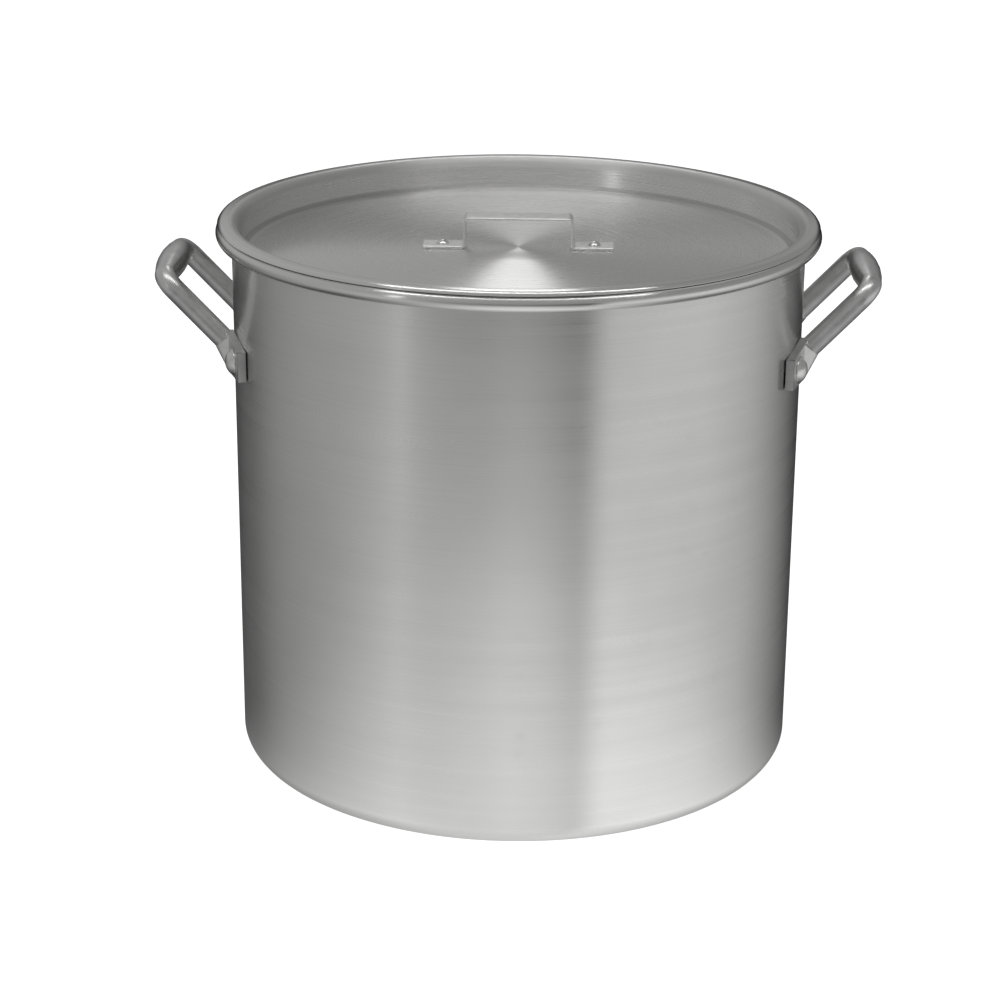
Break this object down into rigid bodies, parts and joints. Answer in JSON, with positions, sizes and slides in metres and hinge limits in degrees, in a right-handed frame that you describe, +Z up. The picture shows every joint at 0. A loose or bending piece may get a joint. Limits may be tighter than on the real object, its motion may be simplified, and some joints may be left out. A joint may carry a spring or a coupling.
{
  "type": "brew kettle",
  "caption": "Large aluminium brew kettle with a rolled rim bead, two riveted bar side handles, and a loose recessed lid with a riveted strap handle.",
  "frame": {"origin": "middle of the flat base, on the surface the kettle stands on", "axes": "+X towards the right side handle, +Y towards the back, +Z up, the way the lid lifts"},
  "size_m": [0.5334, 0.444, 0.41],
  "materials": {
    "spun_aluminium": "satin, fine lines spun round the pot",
    "handle_aluminium": "tumbled, softly dull",
    "rivet_aluminium": "smooth, pressed",
    "lid_aluminium": "satin, fine lines spun round the lid",
    "strap_aluminium": "satin, smooth"
  },
  "bodies": {
    "pot": {"pot_body": "spun_aluminium", "left_handle": "handle_aluminium", "right_handle": "handle_aluminium", "left_front_rivet": "rivet_aluminium", "left_rear_rivet": "rivet_aluminium", "right_front_rivet": "rivet_aluminium", "right_rear_rivet": "rivet_aluminium"},
    "lid": {"lid": "lid_aluminium", "lid_handle": "strap_aluminium", "lid_left_rivet": "rivet_aluminium", "lid_right_rivet": "rivet_aluminium"}
  },
  "joints": [
    {"name": "lid_lift", "type": "slide", "parent": "pot", "child": "lid", "axis": [0, 0, 1], "range_m": [0, 0.12]}
  ]
}
